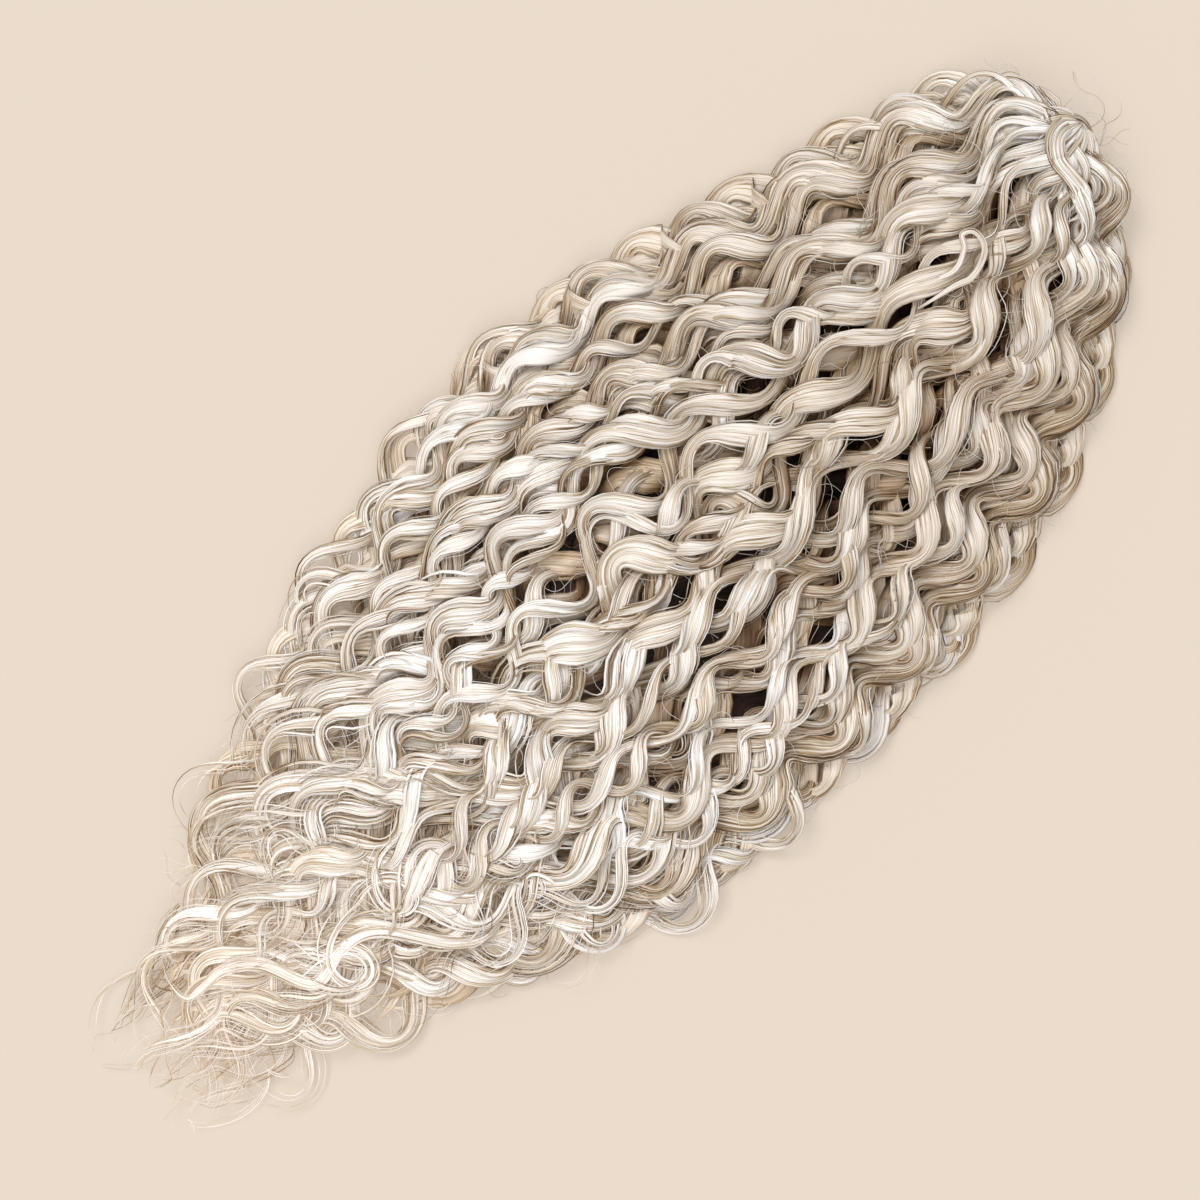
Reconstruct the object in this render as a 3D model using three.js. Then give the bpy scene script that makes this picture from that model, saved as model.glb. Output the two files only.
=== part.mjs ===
// Bundle of curly braiding hair, lying flat as it comes out of its packet.
// Millimetres, +Z up. The roots are gathered at +X, the loose tips reach to -X, and the hair rests on z = 0.
// The lower locks are fused into one body that lies on the surface. Upper locks, the gathered root,
// the lock that loops over it and the free tip curls are separate bodies resting on or against it.
import * as THREE from "three";

// Driving dimensions
const LAID_LENGTH = 457; // head to tip, curled
const TIP_REACH = 22; // how far the free tip curls stand out past the fused locks
const HEAD_X = LAID_LENGTH / 2;
const AXIS_Y = -0.12; // puts the widest stretch of the outline evenly about y = 0
const WAVE_PITCH = 31; // one full wave, measured along a lock
const WAVE_SWING = 7; // a lock's swing to each side of its route
const SWING_CHANGE = 0.2; // the share by which the swing grows and shrinks along the bundle
const PITCH_WANDER = 0.6; // radians by which the waves run early or late
const WANDER_LENGTH = 145; // over which both of these come round again
const WAVE_FADE = 30; // the swing grows from nothing over this length at the head and dies out at the tips
const REST_GAP = 0.6; // clearance between a lock and what it rests on

// Lower locks, fused side by side
const RIM_HEIGHT = 5;
const RIM_TUCK = 2.5; // the underside stops this far inside the rim
const DOME_POWER = 2.4; // how square the crown is across the bundle
const LOWER_LOCKS = 13;
const GROOVE_DEPTH = 3.6; // between two lower locks
const DIP_DEPTH = 1.6; // each lower lock dives this much once in a wave
const PHASE_DRIFT = 1.2; // radians of wave from the axis to the left rim
const LOWER_STEPS_PER_WAVE = 5;

// Upper locks
const UPPER_WIDTH = 10.5; // on the slanting runs
const UPPER_BEND_SHARE = 0.55; // of the width that shows where the lock turns edge-on at a bend
const UPPER_THICKNESS = 7;
const UPPER_FACE_SHARE = 0.62; // the top face's share of the width
const UPPER_ROOM_SHARE = 0.41; // a lock takes at most this much of the room between its neighbours
const UPPER_TWIST = 1.5; // the top face tilts by this much to either side as the lock curls
const UPPER_START = 28; // from the middle of the gathered root
const UPPER_FLOOR_SIDE = 0.9; // past this share of the half width an upper lock stands clear of the rim
const UPPER_STEPS_PER_WAVE = 6;

// Gathered root
const ROOT = { fromHead: 15.5, y: 4, halfLength: 9, halfWidth: 8, height: 7 };
const ROOT_CLEARANCE = 1; // the loop keeps this far from the root's rim
const ROOT_RINGS = 9;
const ROOT_FLUTES = 4;
const FLUTE_DEPTH = 0.8;

// Lock that loops over the root
const LOOP_WIDTH = 7;
const LOOP_THICKNESS = 5;
const LOOP_STEPS = 22;

// Tip curls
const CURL_STEPS = 12;
const CURL_SIDES = 8;
const CURL_TIP_SHARE = 0.35; // of the radius that is left at the very tip

// Outline and crest of the lower locks, at stations back from the head
const STATIONS = [
  { fromHead: 0, left: 12, right: 2, crest: 14 },
  { fromHead: 12, left: 34, right: 22, crest: 20 },
  { fromHead: 40, left: 48, right: 44, crest: 26 },
  { fromHead: 95, left: 64, right: 73, crest: 29 },
  { fromHead: 160, left: 84, right: 88, crest: 31 },
  { fromHead: 215, left: 91, right: 91, crest: 31 },
  { fromHead: 275, left: 80, right: 85, crest: 28 },
  { fromHead: 330, left: 66, right: 66, crest: 22 },
  { fromHead: 385, left: 48, right: 41, crest: 15 },
  { fromHead: 420, left: 31, right: 30, crest: 10 },
  { fromHead: LAID_LENGTH - TIP_REACH, left: 19, right: 26, crest: 8 },
];

// Upper locks from right to left. side runs from -1 at the right rim to 1 at the left rim,
// phase is in radians, and tail is the share of the route where the lock ends.
const UPPER_LOCKS = [
  { name: "upper_lock_1", side: -0.84, phase: -0.9, tail: 0.9 },
  { name: "upper_lock_2", side: -0.6, phase: -0.6, tail: 0.95 },
  { name: "upper_lock_3", side: -0.36, phase: -0.2, tail: 0.92 },
  { name: "upper_lock_4", side: -0.12, phase: -0.3, tail: 0.96 },
  { name: "upper_lock_5", side: 0.12, phase: 0.1, tail: 0.94 },
  { name: "upper_lock_6", side: 0.36, phase: 0.5, tail: 0.96 },
  { name: "upper_lock_7", side: 0.6, phase: 0.6, tail: 0.93 },
  { name: "upper_lock_8", side: 0.84, phase: 0.8, tail: 0.87 },
];

// The loop goes out of the root's right side, round its end and left side, and down the right flank.
const LOOP_ROUTE = [
  { fromHead: 8, y: -5 },
  { fromHead: 7, y: 4 },
  { fromHead: 13, y: 11 },
  { fromHead: 22, y: 8 },
  { fromHead: 25, y: -3 },
  { fromHead: 29, y: -13 },
];

// Tip curls, each leaving the end of the fused locks at y and turning by bend (degrees, left is positive)
const TIP_CURLS = [
  { name: "tip_curl_1", y: 15, radius: 3, reach: 24, bend: 95 },
  { name: "tip_curl_2", y: 2, radius: 3.2, reach: 21, bend: 55 },
  { name: "tip_curl_3", y: -10, radius: 3.4, reach: 21.4, bend: -20 },
  { name: "tip_curl_4", y: -21, radius: 3, reach: 22, bend: -80 },
];

const UP = new THREE.Vector3(0, 0, 1);

// Outline and crest at any distance back from the head
const stationCurve = new THREE.CubicInterpolant(
  STATIONS.map((station) => station.fromHead),
  STATIONS.flatMap((station) => [station.left, station.right, station.crest]),
  3,
  new Float32Array(3),
);

function outlineAt(fromHead) {
  const [left, right, crest] = stationCurve.evaluate(fromHead);
  return { middle: AXIS_Y + (left - right) / 2, half: (left + right) / 2, crest };
}

// Height of the smooth dome that the lower locks fill
function domeHeight(x, y, outermost = 1) {
  const { middle, half, crest } = outlineAt(HEAD_X - x);
  const side = Math.min(outermost, Math.abs(y - middle) / half);
  return RIM_HEIGHT + (crest - RIM_HEIGHT) * (1 - side ** DOME_POWER);
}

// What an upper lock rests on: the dome, levelled off towards the rim
function upperFloor(x, y) {
  return domeHeight(x, y, UPPER_FLOOR_SIDE);
}

// Height of the gathered root above its floor
function rootHeight(x, y, clearance = 0) {
  const along = (HEAD_X - ROOT.fromHead - x) / (ROOT.halfLength + clearance);
  const across = (y - ROOT.y) / (ROOT.halfWidth + clearance);
  const inside = 1 - along * along - across * across;
  return inside > 0 ? ROOT.height * Math.sqrt(inside) : 0;
}

// What the loop rests on: the dome, and the root where it crosses it
function loopFloor(x, y) {
  const climb = rootHeight(x, y, ROOT_CLEARANCE);
  return upperFloor(x, y) + (climb > 0 ? climb + REST_GAP : 0);
}

// The route of a lock along the bundle, seen from above, before it waves
function routeFor(side) {
  const samples = 40;
  const last = STATIONS.at(-1).fromHead;
  const points = [];
  for (let i = 0; i <= samples; i++) {
    const fromHead = last * (i / samples) ** 2;
    const { middle, half } = outlineAt(fromHead);
    points.push(new THREE.Vector3(HEAD_X - fromHead, middle + side * half, 0));
  }
  return new THREE.CatmullRomCurve3(points);
}

const AXIS_LENGTH = routeFor(0).getLength();

// A point on a wavy lock at a share of its route, and how far round its wave it is
function wavyPoint(route, share, phase) {
  const point = route.getPointAt(share);
  const left = route.getTangentAt(share).cross(UP).normalize();
  const distance = share * AXIS_LENGTH;
  const fade = Math.min(distance, AXIS_LENGTH - distance) / WAVE_FADE;
  const wander = (2 * Math.PI * distance) / WANDER_LENGTH;
  const change = 1 + SWING_CHANGE * Math.cos(wander + phase);
  const swing = WAVE_SWING * change * THREE.MathUtils.smoothstep(fade, 0, 1);
  const angle = (2 * Math.PI * distance) / WAVE_PITCH + PITCH_WANDER * Math.sin(wander) + phase;
  point.addScaledVector(left, swing * Math.sin(angle));
  return { point, angle };
}

// The direction to the left of a wavy lock, square to the way it runs
function wavyLeft(route, share, phase) {
  const step = 0.001;
  const before = wavyPoint(route, Math.max(0, share - step), phase).point;
  const after = wavyPoint(route, Math.min(1, share + step), phase).point;
  return after.sub(before).cross(UP).normalize();
}

// A closed solid through rings of equal length. Each ring runs from the left foot over the top to the right foot.
function loft(rings) {
  const count = rings[0].length;
  const middleOf = (ring) =>
    ring.reduce((sum, p) => sum.add(p), new THREE.Vector3()).divideScalar(count);
  const points = [...rings.flat(), middleOf(rings[0]), middleOf(rings.at(-1))];
  const startMiddle = rings.length * count;
  const endMiddle = startMiddle + 1;
  const index = [];
  for (let j = 0; j < count; j++) {
    const next = (j + 1) % count;
    const lastRing = (rings.length - 1) * count;
    index.push(startMiddle, j, next);
    index.push(endMiddle, lastRing + next, lastRing + j);
    for (let i = 0; i + 1 < rings.length; i++) {
      const here = i * count;
      const after = here + count;
      index.push(here + j, after + j, after + next);
      index.push(here + j, after + next, here + next);
    }
  }
  return new THREE.BufferGeometry().setFromPoints(points).setIndex(index);
}

// Lower locks: ridges and grooves that wave together, fused into one body with a flat underside
function lowerLocksGeometry() {
  const lines = 2 * LOWER_LOCKS;
  const routes = [];
  for (let j = 0; j <= lines; j++) {
    const side = 1 - (2 * j) / lines;
    routes.push({ curve: routeFor(side), phase: PHASE_DRIFT * side, ridge: j % 2 === 1 });
  }
  const steps = Math.round((AXIS_LENGTH / WAVE_PITCH) * LOWER_STEPS_PER_WAVE);
  const rings = [];
  for (let i = 0; i <= steps; i++) {
    const ring = routes.map(({ curve, phase, ridge }, j) => {
      const { point, angle } = wavyPoint(curve, i / steps, phase);
      const dip = ridge ? DIP_DEPTH * (0.5 + 0.5 * Math.cos(angle)) : GROOVE_DEPTH;
      const atRim = j === 0 || j === lines;
      point.z = atRim ? RIM_HEIGHT : Math.max(RIM_HEIGHT, domeHeight(point.x, point.y) - dip);
      return point;
    });
    const leftFoot = ring[0].clone().setZ(0);
    const rightFoot = ring.at(-1).clone().setZ(0);
    leftFoot.y -= RIM_TUCK;
    rightFoot.y += RIM_TUCK;
    rings.push([leftFoot, ...ring, rightFoot]);
  }
  return loft(rings);
}

// One section of a lock lying on a floor: a bent foot and a top face that tilts by twist
function lockSection(point, left, width, thickness, twist, floorHeight) {
  const at = (share, lift) => {
    const corner = point.clone().addScaledVector(left, (share * width) / 2);
    return corner.setZ(floorHeight(corner.x, corner.y) + REST_GAP + lift);
  };
  return [
    at(1, 0),
    at(UPPER_FACE_SHARE, thickness + twist),
    at(-UPPER_FACE_SHARE, thickness - twist),
    at(-1, 0),
    at(0, 0),
  ];
}

// Room between a lock's two neighbours, seen from above
function roomAt(side, share) {
  const step = (UPPER_LOCKS[1].side - UPPER_LOCKS[0].side) / 2;
  const left = routeFor(side + step);
  const right = routeFor(side - step);
  return left.getPointAt(share).distanceTo(right.getPointAt(share));
}

// An upper lock: a ribbon that shows its face on the slanting runs and its edge at the bends
function upperLockGeometry({ side, phase, tail }) {
  const route = routeFor(side);
  const steps = Math.round((AXIS_LENGTH * tail * UPPER_STEPS_PER_WAVE) / WAVE_PITCH);
  const rootMiddle = new THREE.Vector3(HEAD_X - ROOT.fromHead, ROOT.y, 0);
  const rings = [];
  for (let i = 0; i <= steps; i++) {
    const share = (tail * i) / steps;
    const { point, angle } = wavyPoint(route, share, phase);
    if (point.distanceTo(rootMiddle) < UPPER_START) continue;
    const face = THREE.MathUtils.lerp(UPPER_BEND_SHARE, 1, Math.abs(Math.cos(angle)));
    const width = face * Math.min(UPPER_WIDTH, UPPER_ROOM_SHARE * roomAt(side, share));
    const thickness = UPPER_THICKNESS * Math.sqrt(width / (face * UPPER_WIDTH)) - UPPER_TWIST;
    const twist = UPPER_TWIST * Math.cos(angle);
    rings.push(lockSection(point, wavyLeft(route, share, phase), width, thickness, twist, upperFloor));
  }
  return loft(rings);
}

// Gathered root: a low fluted dome where all the locks come together
function rootGeometry() {
  const across = 2 * ROOT_FLUTES;
  const rings = [];
  for (let i = 1; i < ROOT_RINGS; i++) {
    const along = -1 + (2 * i) / ROOT_RINGS;
    const x = HEAD_X - ROOT.fromHead - along * ROOT.halfLength;
    const halfWidth = ROOT.halfWidth * Math.sqrt(1 - along * along);
    const ring = [];
    for (let j = 0; j <= across; j++) {
      const y = ROOT.y + halfWidth * (1 - (2 * j) / across);
      const flute = j % 2 === 0 && j > 0 && j < across ? FLUTE_DEPTH : 0;
      const base = upperFloor(x, y) + REST_GAP;
      ring.push(new THREE.Vector3(x, y, base + Math.max(0, rootHeight(x, y) - flute)));
    }
    const underMiddle = new THREE.Vector3(x, ROOT.y, upperFloor(x, ROOT.y) + REST_GAP);
    rings.push([...ring, underMiddle]);
  }
  return loft(rings);
}

// The lock that loops over the gathered root
function loopGeometry() {
  const points = LOOP_ROUTE.map(({ fromHead, y }) => new THREE.Vector3(HEAD_X - fromHead, y, 0));
  const route = new THREE.CatmullRomCurve3(points);
  const rings = [];
  for (let i = 0; i <= LOOP_STEPS; i++) {
    const share = i / LOOP_STEPS;
    const left = route.getTangentAt(share).cross(UP).normalize();
    rings.push(lockSection(route.getPointAt(share), left, LOOP_WIDTH, LOOP_THICKNESS, 0, loopFloor));
  }
  return loft(rings);
}

// A tip curl: a tapered tube lying on the surface that bends as it leaves the fused locks
function tipCurlGeometry({ y, radius, reach, bend }) {
  const turn = THREE.MathUtils.degToRad(bend);
  const heading = new THREE.Vector2(-1, 0);
  const point = new THREE.Vector3(HEAD_X - STATIONS.at(-1).fromHead - REST_GAP, AXIS_Y + y, 0);
  const rings = [];
  for (let i = 0; i <= CURL_STEPS; i++) {
    const share = i / CURL_STEPS;
    const size = radius * THREE.MathUtils.lerp(1, CURL_TIP_SHARE, share);
    const left = new THREE.Vector3(heading.x, heading.y, 0).cross(UP);
    const ring = [];
    for (let j = 0; j < CURL_SIDES; j++) {
      const around = (2 * Math.PI * (j + 0.5)) / CURL_SIDES;
      const corner = point.clone().addScaledVector(left, size * Math.cos(around));
      ring.push(corner.setZ(size * (Math.cos(Math.PI / CURL_SIDES) + Math.sin(around))));
    }
    rings.push(ring);
    point.addScaledVector(new THREE.Vector3(heading.x, heading.y, 0), reach / CURL_STEPS);
    heading.rotateAround(new THREE.Vector2(), -turn / CURL_STEPS);
  }
  return loft(rings);
}

// Pale ash-blond fibre, a little greyer at the root and lighter towards the tips
const rootFibre = new THREE.MeshStandardMaterial({ color: 0xc4b5a2, roughness: 0.5, metalness: 0 });
const lockFibre = new THREE.MeshStandardMaterial({ color: 0xd3c6b4, roughness: 0.45, metalness: 0 });
const shadedFibre = new THREE.MeshStandardMaterial({ color: 0xb4a692, roughness: 0.55, metalness: 0 });
const tipFibre = new THREE.MeshStandardMaterial({ color: 0xe0d2c2, roughness: 0.5, metalness: 0 });

const bundle = new THREE.Group();
bundle.name = "braiding_hair_bundle";

function addPiece(name, geometry, material) {
  const piece = new THREE.Mesh(geometry, material);
  piece.name = name;
  piece.geometry.computeVertexNormals();
  bundle.add(piece);
}

addPiece("lower_locks", lowerLocksGeometry(), shadedFibre);
for (const lock of UPPER_LOCKS) addPiece(lock.name, upperLockGeometry(lock), lockFibre);
addPiece("root_gather", rootGeometry(), rootFibre);
addPiece("root_loop", loopGeometry(), rootFibre);
for (const curl of TIP_CURLS) addPiece(curl.name, tipCurlGeometry(curl), tipFibre);

export default bundle;
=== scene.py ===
"""Bundle of curly ash-blond braiding hair, dressed lock by lock and strand by strand.

Sizes are in millimetres inside this script and become metres when a mesh is made.
+X runs from the tips to the gathered root, +Y to the left of that way, +Z up, with the hair lying on z = 0.
"""

import math
from dataclasses import dataclass, fields, replace
from functools import partial

import bpy
import numpy as np
from mathutils import Matrix, Vector


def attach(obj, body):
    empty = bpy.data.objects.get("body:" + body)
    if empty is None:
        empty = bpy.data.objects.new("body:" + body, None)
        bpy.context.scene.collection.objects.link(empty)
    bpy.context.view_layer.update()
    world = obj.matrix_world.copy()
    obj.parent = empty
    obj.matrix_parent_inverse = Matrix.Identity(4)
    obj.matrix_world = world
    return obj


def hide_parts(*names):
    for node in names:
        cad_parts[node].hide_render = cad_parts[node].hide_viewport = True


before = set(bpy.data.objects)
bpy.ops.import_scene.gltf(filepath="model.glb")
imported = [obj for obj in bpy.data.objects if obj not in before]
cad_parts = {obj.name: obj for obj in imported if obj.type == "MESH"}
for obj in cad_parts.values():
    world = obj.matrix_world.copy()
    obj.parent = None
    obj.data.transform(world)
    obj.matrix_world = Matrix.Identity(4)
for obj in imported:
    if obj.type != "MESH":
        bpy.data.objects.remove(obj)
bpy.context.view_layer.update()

MM = 0.001
SEED = 77

# Sizes of the bundle, as in the part's source
LAID_LENGTH = 457.0
FUSED_LENGTH = 435.0  # where the fused lower locks end and the free tip curls begin
HEAD_X = LAID_LENGTH / 2
AXIS_Y = -0.12
WAVE_PITCH = 31.0
RIM_HEIGHT = 5.0
DOME_POWER = 2.4
ROOT_FROM_HEAD = 15.5
ROOT_Y = 4.0

# Outline and crest, at stations back from the head
STATIONS = [
    dict(from_head=0, left=12, right=2, crest=14),
    dict(from_head=12, left=34, right=22, crest=20),
    dict(from_head=40, left=48, right=44, crest=26),
    dict(from_head=95, left=64, right=73, crest=29),
    dict(from_head=160, left=84, right=88, crest=31),
    dict(from_head=215, left=91, right=91, crest=31),
    dict(from_head=275, left=80, right=85, crest=28),
    dict(from_head=330, left=66, right=66, crest=22),
    dict(from_head=385, left=48, right=41, crest=15),
    dict(from_head=420, left=31, right=30, crest=10),
    dict(from_head=FUSED_LENGTH, left=19, right=26, crest=8),
    dict(from_head=LAID_LENGTH, left=8, right=22, crest=5),
]

# The upper locks that lead each group on top: side, from -1 at the right rim to 1 at the left, and length
LEAD_LOCKS = [
    dict(side=-0.84, tail=0.90),
    dict(side=-0.60, tail=0.95),
    dict(side=-0.36, tail=0.92),
    dict(side=-0.12, tail=0.96),
    dict(side=0.12, tail=0.94),
    dict(side=0.36, tail=0.96),
    dict(side=0.60, tail=0.93),
    dict(side=0.84, tail=0.87),
]

# Layers under those locks. Shift is that of their waves against the upper ones, along the rims.
UNDER_LAYERS = [
    dict(piece="under_hair_middle", count=19, low=-0.92, high=0.92, shift=0.0,
         lock=dict(level=0.80, rise=-2.0, width=(7.2, 10.8), end=(0.76, 0.90), ribs=6,
                   strands=2, detail=0.75)),
    dict(piece="under_hair_low", count=15, low=-1.02, high=1.02, shift=2.4,
         lock=dict(level=0.45, rise=1.0, width=(8.8, 13.2), end=(0.86, 0.95), ribs=5,
                   strands=2, detail=0.9)),
    dict(piece="under_hair_low", count=15, low=-0.91, high=0.91, shift=0.0,
         lock=dict(level=0.15, rise=1.0, width=(13.6, 20.4), end=(0.90, 0.97), ribs=4,
                   strands=0, detail=0.6)),
    dict(piece="under_hair_low", count=2, low=-1.0, high=-0.86, shift=1.2,
         lock=dict(level=0.3, rise=1.0, width=(10.4, 15.6), end=(0.86, 0.95), ribs=5,
                   strands=0, detail=1.1)),
]

# Sides between which each group of tip curls spreads
TIP_GROUPS = [
    dict(low=0.28, high=0.75, has_rings=False),
    dict(low=-0.1, high=0.4, has_rings=False),
    dict(low=-0.5, high=0.0, has_rings=True),
    dict(low=-0.88, high=-0.38, has_rings=False),
]

# Way of the lock that loops over the gathered root
LOOP_WAY = dict(
    from_head=(12, 11, 15, 20, 24, 25, 26, 31, 40),
    y=(-2, 4, 6.5, 5.5, 0.5, -6, -13, -17, -15))

# Way of the thin lock that stands out in a ring near the head
RING_CURL_WAY = dict(
    from_head=(92, 79, 73, 66, 62, 61.5, 65, 68, 77, 94),
    y=(-1, -4, -6, -4.5, -1, 4, 6, 2, 0, 10))

# Way of the bright lock that sweeps over the tips
TIP_SWEEP_WAY = dict(
    from_head=(318, 333, 346, 361, 374, 389, 397, 408, 422, 423, 419),
    y=(-34, -46, -41, -20, -15, -17, 0, 8, 9, 18, 25))

# Rings that thin locks make near the tips
TIP_RINGS = [
    dict(from_head=377, y=-17, radius=11.5, width=4.5),
    dict(from_head=349, y=-13, radius=9.5, width=4.0),
]


# Curves through the station table
def table_curve(column):
    at = np.array([row["from_head"] for row in STATIONS], float)
    value = np.array([row[column] for row in STATIONS], float)
    slope = np.gradient(value, at)

    def curve(position):
        position = np.clip(position, at[0], at[-1])
        i = np.clip(np.searchsorted(at, position) - 1, 0, len(at) - 2)
        gap = at[i + 1] - at[i]
        t = (position - at[i]) / gap
        rise = value[i] * (1 + 2 * t) * (1 - t) ** 2 + value[i + 1] * t * t * (3 - 2 * t)
        return rise + gap * (slope[i] * t * (1 - t) ** 2 + slope[i + 1] * t * t * (t - 1))

    return curve


left_reach = table_curve("left")
right_reach = table_curve("right")
crest_height = table_curve("crest")


def outline_at(from_head):
    """Middle and half width of the bundle."""
    left, right = left_reach(from_head), right_reach(from_head)
    return AXIS_Y + (left - right) / 2, (left + right) / 2


def dome_height(x, y):
    middle, half = outline_at(HEAD_X - x)
    side = np.minimum(1.0, np.abs(y - middle) / half)
    return RIM_HEIGHT + (crest_height(HEAD_X - x) - RIM_HEIGHT) * (1 - side ** DOME_POWER)


def smoothstep(low, high, value):
    t = np.clip((value - low) / (high - low), 0, 1)
    return t * t * (3 - 2 * t)


def unit(vectors):
    return vectors / np.maximum(np.linalg.norm(vectors, axis=-1, keepdims=True), 1e-9)


def length_along(points):
    return np.concatenate([[0], np.cumsum(np.linalg.norm(np.diff(points, axis=0), axis=1))])


# How far each thing strays by chance, and the distance over which that changes
STRAY = dict(
    route=(1.0, 110.0), bend=(1.0, 50.0), wave=(1.0, 60.0), lock_width=(0.15, 40.0), dive=(1.0, 65.0),
    rib=(0.35, 28.0), parting=(1.0, 30.0), streak=(0.45, 22.0),
    strand=(0.25, 38.0), strand_height=(0.2, 30.0),
    bunch=(0.2, 45.0), bunch_height=(0.4, 40.0), bunch_width=(0.2, 25.0),
    loop=(0.5, 12.0), ring_turn=(0.3, 0.5), ring_sway=(2.5, 0.7),
    arc_turn=(0.08, 0.6), arc_radius=(0.5, 0.5), arc_sway=(0.5, 0.7),
    wisp_turn=(1.1, 15.0), wisp_size=(0.3, 20.0), wisp_way=(3.0, 30.0), wisp_hair=(1.0, 25.0),
)


def wander(rng, name, distance, rows=None):
    """Smooth random values about 0 along a distance, which stray as the table says."""
    size, spacing = STRAY[name]
    place = (distance - np.min(distance)) / spacing
    count = int(np.max(place)) + 3
    place = place + rng.uniform(0, 1, size=(rows or 1, 1))
    aims = rng.normal(size=(rows or 1, count))
    i = np.clip(place.astype(int), 0, count - 2)
    t = place - i
    t = t * t * (3 - 2 * t)
    values = size * (np.take_along_axis(aims, i, 1) * (1 - t) + np.take_along_axis(aims, i + 1, 1) * t)
    return values if rows else values[0]


# Locks
@dataclass
class Lock:
    side: float = 0.0  # -1 at the right rim, 1 at the left rim
    phase: float = 0.0
    pitch: float = WAVE_PITCH
    bend: float = 0.0  # radians by which it turns away from its route, to each side in turn
    tip_bend: float = 0.0  # the same at its tip, where a large one makes rings
    lift: float = 0.0  # half height of the curl
    level: float = 1.0  # height of its middle, as a share of the dome
    rise: float = 0.0  # added to that height
    dive: float = 0.0  # how far it sinks under its neighbours here and there
    width: float = 0.0
    thickness: float = 0.0
    tilt: float = 0.0  # degrees that the flat side leans at a bend
    drift: float = 0.0  # how far its route strays, as a share of the half width
    start: float = 0.0  # distances back from the head
    end: float = 0.0
    ribs: int = 0  # strands that show across a face
    strands: int = 0  # loose ones
    tint: float = 0.0
    warm: float = 0.0  # from 0, ash, to 1, golden
    beat: int = 0  # locks of one beat have the same unrest, so they wave together
    unrest: float = 0.12  # how far each wave differs from the next
    bunches: int = 0  # narrow ones that it parts into towards its tip
    fray: float = 0.85  # share of its body that is lost at its tip
    spread: float = 0.46  # how far loose strands lie to each side, as a share of its width
    detail: float = 1.0  # rings, as a share of the finest


@dataclass
class Line:
    """A lock's middle line: points, the way across its flat side and out of it, and its size."""
    points: np.ndarray
    across: np.ndarray
    out: np.ndarray
    width: np.ndarray
    thickness: np.ndarray
    spread: np.ndarray  # width over which its loose strands lie
    distance: np.ndarray
    facing: np.ndarray  # from -1, a run underneath, to 1, a run on top

    def first(self, count):
        return Line(*(getattr(self, field.name)[:count] for field in fields(self)))


CORNER = math.radians(21)  # most that a strand turns at one ring
LONGEST_STEP = 9.0
FEWEST_RINGS = 6


def frame_along(points, lean):
    """Directions across and out of a ribbon that follows points and leans by an angle about its run."""
    run = unit(np.gradient(points, axis=0))
    left = unit(np.cross(run, (0.0, 0.0, 1.0)))
    up = np.cross(left, run)
    lean = lean[:, None]
    return left * np.cos(lean) - up * np.sin(lean), left * np.sin(lean) + up * np.cos(lean)


def thin_out(line, detail):
    """Keeps only the rings that the bends need."""
    run = unit(np.diff(line.points, axis=0))
    turn = np.arccos(np.clip(np.sum(run[1:] * run[:-1], axis=1), -1, 1))
    step = np.linalg.norm(np.diff(line.points, axis=0), axis=1)
    cost = detail * step / LONGEST_STEP
    cost[1:] += detail * turn / CORNER
    total = np.concatenate([[0], np.cumsum(cost)])
    count = max(FEWEST_RINGS, int(math.ceil(total[-1])))
    place = np.interp(np.linspace(0, total[-1], count + 1), total, np.arange(len(total)))

    def pick(values):
        columns = values.reshape(len(values), -1).T
        picked = np.stack([np.interp(place, np.arange(len(values)), column) for column in columns], 1)
        return picked.reshape(len(place), *values.shape[1:])

    thinned = Line(*(pick(getattr(line, field.name)) for field in fields(line)))
    return replace(thinned, across=unit(thinned.across), out=unit(thinned.out))


FINE_STEP = 0.7
HEAD_BEND = 75.0  # where the locks that leave the gathered root have turned along the bundle
GATHER_SPREAD = 5.0  # half width of the gathered root
HEAD_START = dict(left=(-0.3, 2.0), right=(0.0, 1.35))  # how a lock starts out, on each side


def bend_between(start, leave, end, arrive, count):
    t = np.linspace(0, 1, count)[:, None]
    near = (1 + 2 * t) * (1 - t) ** 2 * start + t * (1 - t) ** 2 * leave
    return near + t * t * (3 - 2 * t) * end + t * t * (t - 1) * arrive


def route(lock, rng):
    """Plan of a lock before it waves: out of the gathered root, then along the bundle at its side."""
    from_head = np.arange(max(lock.start, HEAD_BEND), lock.end, FINE_STEP)
    middle, half = outline_at(from_head)
    side = np.clip(lock.side + lock.drift * wander(rng, "route", from_head), -1.0, 1.0)
    along = np.stack([HEAD_X - from_head, middle + side * half], 1)
    if lock.start >= HEAD_BEND:
        return along
    gather = np.array([HEAD_X - lock.start, ROOT_Y + GATHER_SPREAD * lock.side])
    span = along[0] - gather
    leave = span * HEAD_START["left" if lock.side > 0 else "right"]
    arrive = unit(along[1] - along[0]) * np.linalg.norm(span)
    head = bend_between(gather, leave, along[0], arrive, int(HEAD_BEND / FINE_STEP))
    return np.concatenate([head[:-1], along])


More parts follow.
